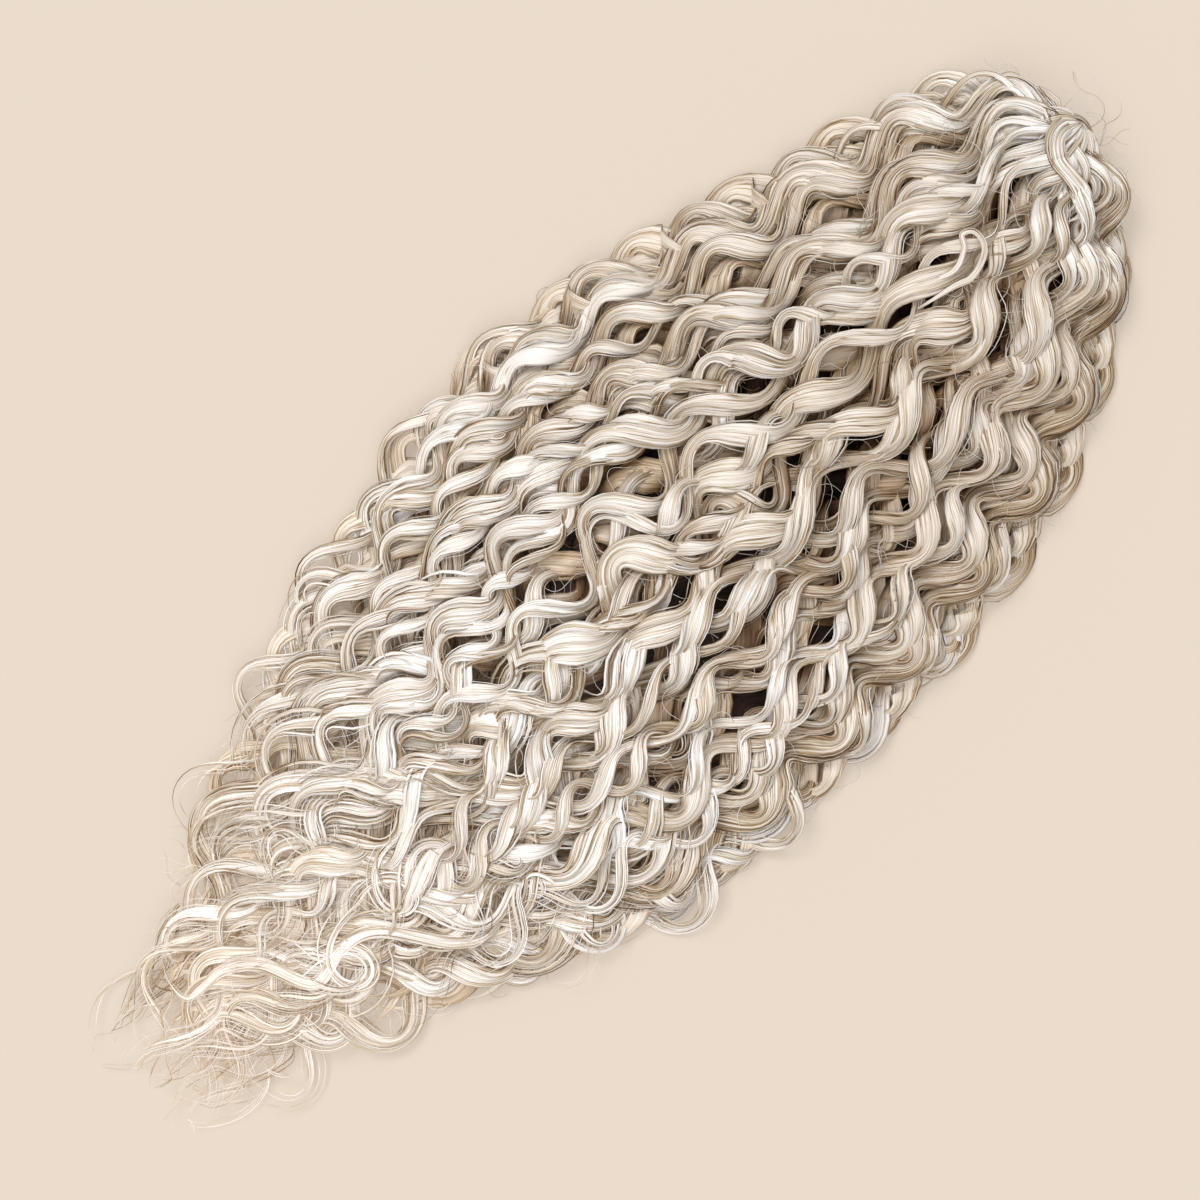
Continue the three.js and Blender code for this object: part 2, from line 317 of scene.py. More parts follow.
WAVE_STEPS = 48  # points along one wave, before they are thinned out
SPARE_LENGTH = 2.2  # waves are laid out for this many times the length of the route, then cut off
SPARE_WAVES = 2
STRAIGHTNESS = 0.9  # the larger, the straighter a lock runs from bend to bend
WAVES_GROW = (ROOT_FROM_HEAD - 10, 38.0)  # from still to full, back from the head
TIP_LENGTH = 120.0  # last stretch of a lock, which thins out
TIP_STRETCH = 0.35  # by this share the waves are longer at the tip
ROOT_SHARE = 0.55  # of a lock's size, where it leaves the gathered root
PINCH = 0.12  # of a lock's width, lost at its bends
THICKER_BEND = 0.4
TIGHTEST = 3.2  # bend radii that a lock's width stays under
FACING = 0.15  # by this share a run on top is wider and a run underneath narrower
# facing that a lock's tips settle to, which sets their painted shade
TIP_FACING = 0.5
HIDDEN_START = 9.0  # how deep a lock lies under the others where it starts
HIDDEN_LENGTH = 45.0
FLOOR_CLEARANCE = 0.25
SOFT_LANDING = 1.2  # how gently a lock comes down on the floor


def even_out(values, span):
    """Takes away the running mean over a span of points."""
    padded = np.pad(values, (span // 2, span - span // 2), mode="reflect")
    total = np.concatenate([[0], np.cumsum(padded)])
    return values - ((total[span:] - total[:-span]) / span)[:len(values)]


def swing(angle):
    """Share of the full bend at a phase: close to 1 along most of a run, and quick to turn at a corner."""
    return np.tanh(STRAIGHTNESS * np.cos(angle)) / math.tanh(STRAIGHTNESS)


def lock_line(lock, rng):
    """The line of a lock, whose heading swings to and fro about its route as a meander's does."""
    base = route(lock, rng)
    base_arc = length_along(base)
    run = unit(np.gradient(base, axis=0))
    full_turn = 2 * np.pi * np.arange(WAVE_STEPS) / WAVE_STEPS
    wave_length = lock.pitch / np.mean(np.cos(lock.bend * swing(full_turn)))

    waves = SPARE_LENGTH * base_arc[-1] / lock.pitch + SPARE_WAVES
    turn = np.arange(int(waves * WAVE_STEPS)) * 2 * np.pi / WAVE_STEPS
    reach = lock.start + turn / (2 * np.pi) * lock.pitch
    angle = turn + lock.phase
    fade = smoothstep(*WAVES_GROW, reach)
    tip_share = smoothstep(lock.end - TIP_LENGTH, lock.end, reach)
    beat = np.random.default_rng(SEED + lock.beat)
    bend = lock.bend * fade * (1 + lock.unrest * wander(beat, "bend", reach))
    bend = bend + (lock.tip_bend - bend) * tip_share
    heading = bend * (swing(angle) + (np.cos(angle) - swing(angle)) * tip_share)
    step = wave_length / WAVE_STEPS * (1 + lock.unrest * wander(beat, "wave", reach))
    step = step * (1 + TIP_STRETCH * tip_share)
    along = np.cumsum(np.cos(heading) * step)
    sway = even_out(np.cumsum(np.sin(heading) * step), WAVE_STEPS)
    past = np.nonzero(along > base_arc[-1])[0]
    kept = slice(0, past[0] if len(past) else len(along))
    along, sway, angle, reach, fade, tip_share, heading, step = (
        values[kept] for values in (along, sway, angle, reach, fade, tip_share, heading, step))
    bend_radius = step / (np.abs(np.gradient(heading)) + 1e-6)

    middle = np.column_stack([np.interp(along, base_arc, base[:, k]) for k in range(2)])
    way = np.column_stack([np.interp(along, base_arc, run[:, k]) for k in range(2)])
    plan = middle + np.column_stack([way[:, 1], -way[:, 0]]) * sway[:, None]

    taper = ROOT_SHARE + (1 - ROOT_SHARE) * smoothstep(ROOT_FROM_HEAD, HEAD_BEND, reach)
    at_bend = fade * np.sin(angle) ** 2
    facing = 1 + fade * (np.sign(lock.lift) * np.cos(angle) - 1)
    spread = lock.width * taper * (1 + FACING * facing) * (1 - PINCH * at_bend)
    spread = spread * (1 + wander(rng, "lock_width", reach))
    spread = 1 / np.sqrt(1 / spread ** 2 + 1 / (TIGHTEST * bend_radius) ** 2)
    thin = 1 - lock.fray * tip_share
    width = spread * thin
    thickness = lock.thickness * taper * thin * (1 + THICKER_BEND * at_bend)
    lean = math.radians(lock.tilt) * fade * np.sin(angle)

    height = lock.level * dome_height(middle[:, 0], middle[:, 1]) + lock.rise
    height = height + lock.lift * fade * np.cos(angle)
    height -= lock.dive * fade * smoothstep(0.0, 1.0, wander(rng, "dive", reach))
    if lock.start > HEAD_BEND:
        height -= HIDDEN_START * (1 - smoothstep(0, HIDDEN_LENGTH, reach - lock.start))
    lowest = FLOOR_CLEARANCE + thickness / 2 + width / 2 * np.abs(np.sin(lean))
    height = lowest + SOFT_LANDING * np.logaddexp(0, (height - lowest) / SOFT_LANDING)
    points = np.column_stack([plan, height])
    across, out = frame_along(points, lean)
    facing = facing + (TIP_FACING - facing) * tip_share
    line = Line(points, across, out, width, thickness, spread, length_along(points), facing)
    return thin_out(line, lock.detail)


# Strands and locks, gathered into one mesh a piece
ROW_MARGIN = 0.5  # left free between the rows of the map, where a side of a strand is 1
DEEP = (1.0, 10.5)  # below the top of the bundle, from where shade begins to where it is full
SHADE_INSET = dict(left=55.0, right=15.0)  # from the outline to where the shade is full
SHADE_FROM_HEAD = (ROOT_FROM_HEAD, 3 * ROOT_FROM_HEAD)
TIP_OPEN = 0.9  # the tips lie open, so this share of the shade is gone there
TIP_OPENS = (0.5, 0.85)  # shares of the length between which it goes


def shade_at(points):
    """How deep in the bundle's shade each point lies, from 0 to 1."""
    x, y, z = points.T
    from_head = HEAD_X - x
    middle, half = outline_at(from_head)
    inset = np.where(y > middle, SHADE_INSET["left"], SHADE_INSET["right"])
    inside = smoothstep(0, inset, half - np.abs(y - middle)) * smoothstep(*SHADE_FROM_HEAD, from_head)
    open_share = TIP_OPEN * smoothstep(*TIP_OPENS, from_head / LAID_LENGTH)
    return smoothstep(*DEEP, dome_height(x, y) - z) * inside * (1 - open_share)


def add_object(name, data):
    item = bpy.data.objects.new(name, data)
    bpy.context.collection.objects.link(item)
    return item


class HairMesh:
    """Closed tubes of any section, each with a row of its own in the map."""

    def __init__(self):
        self.points, self.quads, self.ends, self.uv_quads, self.uv_ends = [], [], [], [], []
        # The first of these values is each strand's own tone plus painted light and shade: shade in grooves,
        # partings, at edges and on runs underneath, and at the rim feet shade on the right and light on the
        # left
        self.values = {"tint": [], "warm": [], "lane": [], "run": [], "loose": []}
        self.count = 0
        self.rows = 0.0

    def add(self, points, **values):
        """Adds a tube, whose points are rings by sides by 3, with a value of each kind for every point."""
        rings, sides = points.shape[:2]
        index = self.count + np.arange(rings * sides).reshape(rings, sides)
        here, after = index[:-1], index[1:]
        quads = np.stack([here, np.roll(here, -1, 1), np.roll(after, -1, 1), after], -1)
        self.points.append(points.reshape(-1, 3))
        self.quads.append(quads.reshape(-1, 4))
        self.ends += [index[0, ::-1], index[-1]]
        for key, kept in self.values.items():
            kept.append(np.broadcast_to(values[key], (rings, sides)).ravel())

        u = np.broadcast_to(np.linspace(0, 1, rings)[:, None], (rings, sides + 1))
        v = np.broadcast_to(self.rows + ROW_MARGIN + np.arange(sides + 1), (rings, sides + 1))
        uv = np.stack([u, v], -1)
        corners = [uv[:-1, :-1], uv[:-1, 1:], uv[1:, 1:], uv[1:, :-1]]
        self.uv_quads.append(np.stack(corners, 2).reshape(-1, 2))
        self.uv_ends += [uv[0, -2::-1], uv[-1, :-1]]
        self.count += rings * sides
        self.rows += sides + 2 * ROW_MARGIN

    def build(self, name):
        points = np.concatenate(self.points)
        quads = np.concatenate(self.quads)
        loops = np.concatenate([quads.ravel()] + self.ends)
        sizes = np.concatenate([np.full(len(quads), 4), [len(end) for end in self.ends]])
        uv = np.concatenate(self.uv_quads + self.uv_ends)
        uv[:, 1] /= self.rows

        mesh = bpy.data.meshes.new(name)
        mesh.vertices.add(len(points))
        mesh.vertices.foreach_set("co", (points * MM).astype(np.float32).ravel())
        mesh.loops.add(len(loops))
        mesh.loops.foreach_set("vertex_index", loops.astype(np.int32))
        mesh.polygons.add(len(sizes))
        starts = np.concatenate([[0], np.cumsum(sizes)[:-1]])
        mesh.polygons.foreach_set("loop_start", starts.astype(np.int32))
        mesh.update(calc_edges=True)
        mesh.shade_smooth()
        mesh.uv_layers.new(name="OFBake").data.foreach_set("uv", uv.astype(np.float32).ravel())

        values = {key: np.concatenate(kept) for key, kept in self.values.items()}
        values["tip"] = (HEAD_X - points[:, 0]) / LAID_LENGTH
        values["deep"] = shade_at(points)
        for key, value in values.items():
            attribute = mesh.attributes.new(key, "FLOAT", "POINT")
            attribute.data.foreach_set("value", value.astype(np.float32))
        mesh.validate()
        return add_object(name, mesh)


LENS_POWER = 0.8  # how full a lock's section is
RIB_HEIGHT = 0.16  # of the strands that show on a lock's face
RIB_HEIGHTS = (0.4, 1.4)  # shares of that
FULL_RIB_WIDTH = 6.0  # locks narrower than this have lower ribs
RIB_STRAY = dict(fixed=0.4, most=0.85)  # shares of the space between ribs
RIB_TINT = 0.3
# painted shade in the grooves between the ribs of a lock's face
GROOVE_PAINTED_SHADE = -0.3
GROOVE_STREAK = 0.5  # share of the streaks that is left in the grooves
# painted shade at a lock's rounded edges
EDGE_PAINTED_SHADE = -0.35
# painted shade on a run that lies underneath another, none on a run on top
FACING_PAINTED_SHADE = 0.5
PARTING_SHARE = 0.2  # of the grooves, where a lock parts
PARTING_DEPTH = 0.7  # share of half a lock's thickness
PARTING_SIZES = (0.5, 1.0)  # shares of that depth
# painted shade in a parting, where a lock opens between its strands
PARTING_PAINTED_SHADE = -1.3
PARTING_COMES = (-0.5, 0.6)  # values of its random run between which a parting opens
START_TAPER = 6.0  # lengths in which a lock narrows to its ends
END_TAPER = 35.0
START_TAPER_SHARE = 0.1  # most of a short lock's length that they take
END_TAPER_SHARE = 0.25
END_SIZE = 0.04
LANE_SPREAD = 900.0  # the streaks of each lock are taken from their own part of the noise


def lens_bulge(place):
    """Half height of a lock's section, from 0 at its edges, which are at -0.5 and 0.5, to 1."""
    return np.sqrt(np.maximum(0, 1 - (2 * place) ** 2)) ** LENS_POWER


def add_ribbon(mesh, line, lock, rng):
    """The body of a lock: a flat lens of side-by-side strands, with a groove between each two."""
    ribs = lock.ribs
    back_ribs = max(1, ribs // 3)
    front = np.linspace(0.5, -0.5, 2 * ribs + 1)
    back = np.linspace(-0.5, 0.5, 2 * back_ribs + 1)[1:-1]
    place = np.concatenate([front, back])
    gap = np.concatenate([np.full(len(front), 0.5 / ribs), np.full(len(back), 0.5 / back_ribs)])[:, None]
    face = np.where(np.arange(len(place)) < len(front), 1.0, -1.0)
    count = len(place)
    crest = np.arange(count) % 2 == 1
    stray = rng.uniform(-RIB_STRAY["fixed"], RIB_STRAY["fixed"], (count, 1))
    stray = stray + wander(rng, "rib", line.distance, count)
    stray[[0, 2 * ribs]] = 0
    place = np.clip(place[:, None] + np.clip(stray, -RIB_STRAY["most"], RIB_STRAY["most"]) * gap, -0.5, 0.5)

    is_parting = ~crest & (rng.uniform(size=count) < PARTING_SHARE)
    parting = np.where(is_parting, rng.uniform(*PARTING_SIZES, count), 0)[:, None]
    parted = parting * smoothstep(*PARTING_COMES, wander(rng, "parting", line.distance, count))
    rib = np.where(crest, RIB_HEIGHT, -RIB_HEIGHT)[:, None] * rng.uniform(*RIB_HEIGHTS, (count, 1))
    past_start, to_end = line.distance - line.distance[0], line.distance[-1] - line.distance
    ends = smoothstep(0, min(START_TAPER, START_TAPER_SHARE * past_start[-1]), past_start)
    ends = ends * smoothstep(0, min(END_TAPER, END_TAPER_SHARE * past_start[-1]), to_end)
    ends = END_SIZE + (1 - END_SIZE) * ends
    sideways = place * line.width * ends
    body = lens_bulge(place) * line.thickness / 2 * (1 - PARTING_DEPTH * parted)
    outward = face[:, None] * (body + rib * np.minimum(1, line.width / FULL_RIB_WIDTH)) * ends
    points = line.points[:, None, :] + sideways.T[..., None] * line.across[:, None, :]
    points = points + outward.T[..., None] * line.out[:, None, :]

    # Streaks are the strands' own tone; grooves, partings, edges and runs underneath are darkened with
    # painted shade
    streak = rng.normal(0, RIB_TINT, (count, 1)) + wander(rng, "streak", line.distance, count)
    groove = GROOVE_PAINTED_SHADE + PARTING_PAINTED_SHADE * parted + GROOVE_STREAK * streak
    tint = lock.tint + np.where(crest[:, None], streak, groove) + EDGE_PAINTED_SHADE * (2 * place) ** 4
    tint = tint + FACING_PAINTED_SHADE * (line.facing - 1)
    mesh.add(points, tint=tint.T, warm=lock.warm, run=line.distance[:, None], loose=0.0,
             lane=(place * np.max(line.width)).T + rng.uniform(0, LANE_SPREAD))


SIDES = 3  # of a strand


def add_tube(mesh, line, radius, tint, warm, rng):
    turn = 2 * np.pi * np.arange(SIDES) / SIDES
    spoke = line.out[:, None, :] * np.cos(turn)[:, None] + line.across[:, None, :] * np.sin(turn)[:, None]
    centre = line.points.copy()
    centre[:, 2] = np.maximum(centre[:, 2], FLOOR_CLEARANCE + radius)
    points = centre[:, None, :] + spoke * radius[:, None, None]
    mesh.add(points, tint=tint, warm=warm, run=line.distance[:, None], loose=1.0,
             lane=rng.uniform(0, LANE_SPREAD))


STRAND_RADIUS = 0.23
STRAND_SIZES = (0.45, 1.2)  # shares of that
STRAND_PLACES = (0.3, 1.0)  # squares of the shares of the way out to where the farthest lie
STRAND_LIFT = 0.12  # off the lock's face, as a share of its thickness
BACK_STRANDS = 0.3  # share of them on the lower face
THINNEST_LOCK = 0.5  # loose strands lie as if a lock were at least this thick
STRAND_CUT = 60.0  # strands end up to this far before their lock
STRAND_TAPER = 40.0
STRAND_END = 0.35  # share of its size that a strand ends with
STRAND_TINT = (-0.35, 0.7)  # mean and spread


def add_strands(mesh, line, lock, rng):
    """Loose strands that follow a lock, on its faces and past its edges."""
    rings, count = len(line.distance), lock.strands
    place = rng.uniform(*STRAND_PLACES, (count, 1)) ** 0.5
    place = place * np.where(rng.uniform(size=(count, 1)) < 0.5, -1, 1)
    place = lock.spread * (place + wander(rng, "strand", line.distance, count))
    face = np.where(rng.uniform(size=count) < BACK_STRANDS, -1.0, 1.0)[:, None]
    outward = wander(rng, "strand_height", line.distance, count)
    outward = outward + face * (lens_bulge(place) * 0.5 + STRAND_LIFT)
    centre = line.points + (place * line.spread)[..., None] * line.across
    centre = centre + (outward * np.maximum(line.thickness, THINNEST_LOCK))[..., None] * line.out
    size = rng.uniform(*STRAND_SIZES, (count, 1)) * STRAND_RADIUS
    left_over = line.distance[-1] - rng.uniform(0, STRAND_CUT, (count, 1)) - line.distance
    size = size * (STRAND_END + (1 - STRAND_END) * smoothstep(0, STRAND_TAPER, left_over))
    tint = lock.tint + rng.normal(*STRAND_TINT, count)
    # painted shade on runs that lie underneath
    facing_shade = FACING_PAINTED_SHADE * (line.facing - 1)
    for j in range(count):
        kept = int(np.clip(np.count_nonzero(left_over[j] > 0), FEWEST_RINGS, rings))
        strand = replace(line, points=centre[j]).first(kept)
        add_tube(mesh, strand, size[j, :kept], (tint[j] + facing_shade[:kept])[:, None], lock.warm, rng)


BUNCH_LENGTH = 190.0  # last stretch of a lock, in which it parts into bunches
BUNCH_WIDTHS = (0.8, 2.2)
BUNCH_THICKNESS = 0.5
BUNCH_RIBS = 2
BUNCH_FAN = 0.7  # by this share the bunches spread wider at their ends
BUNCH_NARROWS = dict(share=0.75, power=1.5)
BUNCH_KEPT = (0.8, 1.0)  # shares of the stretch that they last for
BUNCH_TINT = (-0.3, 0.4)
FEWEST_BODY_RINGS = 8


def add_bunches(mesh, line, lock, rng):
    """Narrow flat bunches of strands that a lock parts into towards its tip."""
    first = int(np.argmax(line.distance > line.distance[-1] - BUNCH_LENGTH))
    across, out, distance = line.across[first:], line.out[first:], line.distance[first:]
    fan = 1 + BUNCH_FAN * smoothstep(0, 1, np.linspace(0, 1, len(distance)))
    for j in range(lock.bunches):
        size = rng.uniform(*BUNCH_WIDTHS)
        place = (j + 0.5) / lock.bunches - 0.5 + wander(rng, "bunch", distance)
        sideways = place * line.spread[first:] * fan
        outward = 0.5 * line.thickness[first:] + wander(rng, "bunch_height", distance)
        points = line.points[first:] + sideways[:, None] * across + outward[:, None] * out
        points[:, 2] = np.maximum(points[:, 2], FLOOR_CLEARANCE + BUNCH_THICKNESS)
        kept = max(FEWEST_BODY_RINGS, int(len(points) * rng.uniform(*BUNCH_KEPT)))
        narrow = 1 - BUNCH_NARROWS["share"] * np.linspace(0, 1, kept) ** BUNCH_NARROWS["power"]
        width = size * narrow * (1 + wander(rng, "bunch_width", distance[:kept]))
        bunch = Line(points[:kept], across[:kept], out[:kept], width, np.full(kept, BUNCH_THICKNESS),
                     width, distance[:kept], line.facing[first:first + kept])
        tint = lock.tint + rng.normal(*BUNCH_TINT)
        add_ribbon(mesh, bunch, replace(lock, ribs=BUNCH_RIBS, tint=tint), rng)


BODY_SHARE = 0.95  # of a lock's length, past which only its bunches and strands run on


def add_lock(mesh, lock, rng):
    line = lock_line(lock, rng)
    body = line
    if lock.bunches:
        body = line.first(max(FEWEST_BODY_RINGS, int(len(line.distance) * BODY_SHARE)))
    add_ribbon(mesh, body, lock, rng)
    if lock.strands:
        add_strands(mesh, line, lock, rng)
    if lock.bunches:
        add_bunches(mesh, line, lock, rng)


# The locks of each layer
GROUP_OFFSETS = (0.0, -0.085, 0.085)
THIN_LOCKS = 3  # with each lead lock
LATE_START = (80.0, 170.0)  # where all but the first of them come out from under the others
RIM_PITCH = 1.13 * WAVE_PITCH  # along the rims, where the locks wave together
RIM_SIDES = (0.4, 0.75)  # between these a lock passes from the middle of the bundle to its rim
BEAT_EDGES = (-0.5, -0.24, 0.0, 0.24, 0.5)  # sides between which the locks have a beat of their own
USUAL_CURL = 0.8  # share of the locks that curl the usual way


def rim_share(side):
    return float(smoothstep(*RIM_SIDES, abs(side)))


def beat_of(side):
    return int(np.searchsorted(BEAT_EDGES, side))


def head_phase(side, rng, stray):
    """Phase at the gathered root, where the locks of each half first turn out to their own side together."""
    return -0.5 * math.pi * np.sign(side) + rng.uniform(-stray, stray)


# Kinds of locks. A lock draws from a pair as from a range, or for its tone by mean and spread. Its end is a
# share of a length, except for a tip curl, and towards the rims it loses shares of some values.
LEAD_KIND = dict(
    tip_bend=(0.6, 1.1), lift=(2.6, 4.4), rise=0.5, dive=3.0, width=(7.5, 11.5), thickness=(1.0, 1.5),
    tilt=(20, 45), drift=0.06, start=(-3, 3), end=(0.9, 0.97), ribs=8, strands=7, tint=(0, 0.3),
    warm=(0, 1), bunches=3, fray=0.6, rim_loss=dict(lift=0.6, dive=0.7, drift=0.5))
BESIDE_KIND = dict(
    LEAD_KIND, rise=(-2.5, 0.0), dive=6.0, width=(4.5, 8.5), drift=0.10, end=(0.76, 0.93), ribs=6,
    rim_loss=dict(lift=0.6, dive=0.7, drift=0.7))
THIN_KIND = dict(
    pitch=(WAVE_PITCH, 1.25 * WAVE_PITCH), bend=(0.65, 0.85), tip_bend=(0.9, 1.5), lift=(1.5, 2.8),
    rise=1.2, dive=7.0, width=(3.5, 6.0), thickness=(0.8, 1.1), tilt=(30, 55), start=0.0, end=(0.8, 0.98),
    ribs=5, strands=5, tint=(0.1, 0.4), warm=(0, 1), unrest=0.15, bunches=2)
UNDER_KIND = dict(
    tip_bend=(0.6, 1.1), lift=(1.5, 3.0), dive=3.0, thickness=(1.6, 2.2), tilt=(25, 50), drift=0.05,
    start=(-4, 4), tint=(0, 0.3), warm=(0, 1), fray=0.35, rim_loss=dict(lift=0.5, dive=1.0, drift=0.6))
TIP_KIND = dict(
    bend=(0.7, 0.95), tip_bend=(0.8, 1.3), lift=(1.5, 3.0), level=(0.75, 0.95), rise=(0.0, 2.0), dive=2.0,
    width=(3.5, 7.0), thickness=(0.5, 0.9), tilt=(10, 50), drift=0.14, start=(0, 40), end=(400, 455),
    ribs=4, strands=11, tint=(-0.2, 0.3), warm=(0, 0.6), unrest=0.2, bunches=4, fray=0.75, spread=0.5,
    detail=1.1)


def draw_lock(rng, kind, origin, reach=1.0, home=None, rim=0.0, **given):
    """A lock of a kind that starts about an origin, drawn value by value in the order of a lock's fields.

    With a home side, its curl mostly has the run towards that side of the bundle on top.
    """
    row = {**kind, **given}
    drawn = {}
    for name in (field.name for field in fields(Lock) if field.name in row):
        drawn[name] = row[name]
        if isinstance(row[name], tuple):
            drawn[name] = rng.normal(*row[name]) if name == "tint" else rng.uniform(*row[name])
        if name == "lift" and home is not None:
            drawn[name] *= np.sign(home) * (1 if rng.uniform() < USUAL_CURL else -1)
    for name, share in row.get("rim_loss", {}).items():
        drawn[name] *= 1 - share * rim
    drawn["start"] += origin
    drawn["end"] *= reach
    return Lock(**drawn)


def top_group(lead, rng):
    """A lead lock, the locks that curl along with it on top, and thin ones that stray over them."""
    home, reach = lead["side"], LAID_LENGTH * lead["tail"]
    rim, beat = rim_share(home), beat_of(home)
    pitch = RIM_PITCH * (1 + (1 - rim) * rng.uniform(0.0, 0.16))
    bend = rng.uniform(0.66, 0.82) + 0.07 * rim
    phase = head_phase(home, rng, 1.1 - 1.0 * rim)
    stray = 0.5 - 0.35 * rim
    locks = []
    for offset in GROUP_OFFSETS:
        locks.append(draw_lock(
            rng, BESIDE_KIND if offset else LEAD_KIND, ROOT_FROM_HEAD, reach, home, rim,
            side=home + offset + (rng.uniform(-0.02, 0.02) if offset else 0),
            phase=phase + rng.uniform(-stray, stray),
            pitch=pitch * (1 + (1 - 0.8 * rim) * rng.uniform(-0.03, 0.03)),
            bend=bend * rng.uniform(0.92, 1.08),
            beat=beat,
            unrest=0.18 - 0.10 * rim))
    for start in (ROOT_FROM_HEAD, *rng.uniform(*LATE_START, THIN_LOCKS - 1)):
        locks.append(draw_lock(
            rng, THIN_KIND, start, reach, home,
            side=home + rng.uniform(-0.13, 0.13),
            phase=head_phase(home, rng, 0.8),
            drift=0.12 * (1 - 0.6 * abs(home)),
            beat=beat))
    return locks


# Foot locks at the rims: narrower and thinner, with painted shade on the right rim, which faces away from the
# light, and painted light on the left
RIM_FOOT = dict(rim=0.7, width=0.95, thickness=0.6, right_painted_shade=-0.2, left_painted_light=0.3)


def under_locks(row, rng):
    """The locks of a layer, side by side, between two sides of the bundle."""
    locks = []
    for i in range(row["count"]):
        side = row["low"] + (row["high"] - row["low"]) * (i + 0.5) / row["count"] + rng.uniform(-0.02, 0.02)
        rim = rim_share(side)
        lock = draw_lock(
            rng, UNDER_KIND, ROOT_FROM_HEAD, LAID_LENGTH * (1.0 - 0.1 * abs(side)), side, rim,
            side=side,
            phase=head_phase(side, rng, 1.1 - 0.85 * rim) + row["shift"] * rim,
            pitch=RIM_PITCH * (1 + (1 - 0.9 * rim) * rng.uniform(-0.06, 0.12)),
            bend=rng.uniform(0.68, 0.86) - 0.08 * rim,
            beat=beat_of(side),
            unrest=0.14 - 0.06 * rim,
            **row["lock"])
        # foot locks at the rims get painted shade on the right and painted light on the left
        if row["shift"] > 0 and rim > RIM_FOOT["rim"]:
            lock = replace(lock, width=lock.width * RIM_FOOT["width"],
                           thickness=lock.thickness * RIM_FOOT["thickness"],
                           tint=lock.tint + RIM_FOOT["right_painted_shade" if side < 0 else "left_painted_light"])
        locks.append(lock)
    return locks


TIP_LOCKS = 6  # in each group
TIP_BEATS = 1000


def tip_locks(group, rng):
    """Thin curls that spread from the bundle's last stretch, between two sides, and wave together."""
    phase = rng.uniform(-math.pi, math.pi)
    pitch = rng.uniform(36, 44)
    start = rng.uniform(225, 245)
    beat = int(rng.integers(TIP_BEATS))
    width = group["high"] - group["low"]
    return [draw_lock(
        rng, TIP_KIND, start,
        side=group["low"] + width * (i + rng.uniform(0.1, 0.9)) / TIP_LOCKS,
        phase=phase + rng.uniform(-0.6, 0.6),
        pitch=pitch * rng.uniform(0.97, 1.03),
        beat=beat) for i in range(TIP_LOCKS)]


# Locks with a way of their own
STRIP_TINT_SPREAD = 0.3
STRIP_DETAIL = 1.6
STRIP_END = 0.25  # share of its width that a strip ends with
STRIP_TAPERS = dict(start=0.25, end=0.3)  # shares of its length


def strip_lock(rng, tint=0.0, **size):
    """Size and tone of a strip that follows points of its own instead of a side of the bundle."""
    return Lock(**size, tint=rng.normal(0, STRIP_TINT_SPREAD) + tint, warm=rng.uniform(0, 1))


def add_strip(mesh, points, lock, rng):
    distance = length_along(points)
    share = distance / distance[-1]
    taper = smoothstep(0, STRIP_TAPERS["start"], share) * smoothstep(0, STRIP_TAPERS["end"], 1 - share)
    taper = STRIP_END + (1 - STRIP_END) * taper
    across, out = frame_along(points, np.zeros(len(points)))
    width = lock.width * taper
    on_top = np.ones(len(points))
    line = Line(points, across, out, width, lock.thickness * taper, width, distance, on_top)
    line = thin_out(line, STRIP_DETAIL)
    add_ribbon(mesh, line, lock, rng)
    if lock.strands:
        add_strands(mesh, line, lock, rng)


def smooth_route(way, count):
    """A smooth run of points in plan along a way, with so many from each of its places to the next."""
    knots = np.column_stack([HEAD_X - np.array(way["from_head"]), way["y"]])
    knots = np.concatenate([[2 * knots[0] - knots[1]], knots, [2 * knots[-1] - knots[-2]]])
    pieces = []
    for before, start, end, after in zip(knots[:-3], knots[1:-2], knots[2:-1], knots[3:]):
        pieces.append(bend_between(start, (end - before) / 2, end, (after - start) / 2, count)[:-1])
    return np.concatenate(pieces + [knots[-2:-1]])


ROOT_HALF = dict(along=9.0, across=8.0, height=7.0)
ROOT_FAN = dict(strips=11, points=40, turn=1.3, sway=0.2, reach=1.7, back=0.6, apart=0.3, height=0.3)
ROOT_STRIP = dict(thickness=1.2, ribs=6, strands=3, tint=-0.45)
ROOT_WIDTHS = (2.4, 3.6)


def root_height(x, y):
    along = (HEAD_X - ROOT_FROM_HEAD - x) / ROOT_HALF["along"]
    across = (y - ROOT_Y) / ROOT_HALF["across"]
    return ROOT_HALF["height"] * np.sqrt(np.maximum(0, 1 - along ** 2 - across ** 2))


def add_root(mesh, rng):
    """Strips that fan out of the gathered root, each half of them to its own side."""
    t = np.linspace(0, 1, ROOT_FAN["points"])
    reach = ROOT_FAN["reach"] * ROOT_HALF["along"] * t
    for i in range(ROOT_FAN["strips"]):
        spread = -1 + 2 * (i + 0.5) / ROOT_FAN["strips"]
        heading = ROOT_FAN["turn"] * spread + ROOT_FAN["sway"] * np.sin(3.0 * t + 2 * spread)
        x = HEAD_X - ROOT_FROM_HEAD + ROOT_FAN["back"] * ROOT_HALF["along"] - reach * np.cos(heading)
        y = ROOT_Y + ROOT_FAN["apart"] * ROOT_HALF["across"] * spread + reach * np.sin(heading)
        z = dome_height(x, y) + ROOT_FAN["height"] * root_height(x, y)
        strip = strip_lock(rng, width=rng.uniform(*ROOT_WIDTHS), **ROOT_STRIP)
        add_strip(mesh, np.column_stack([x, y, z]), strip, rng)


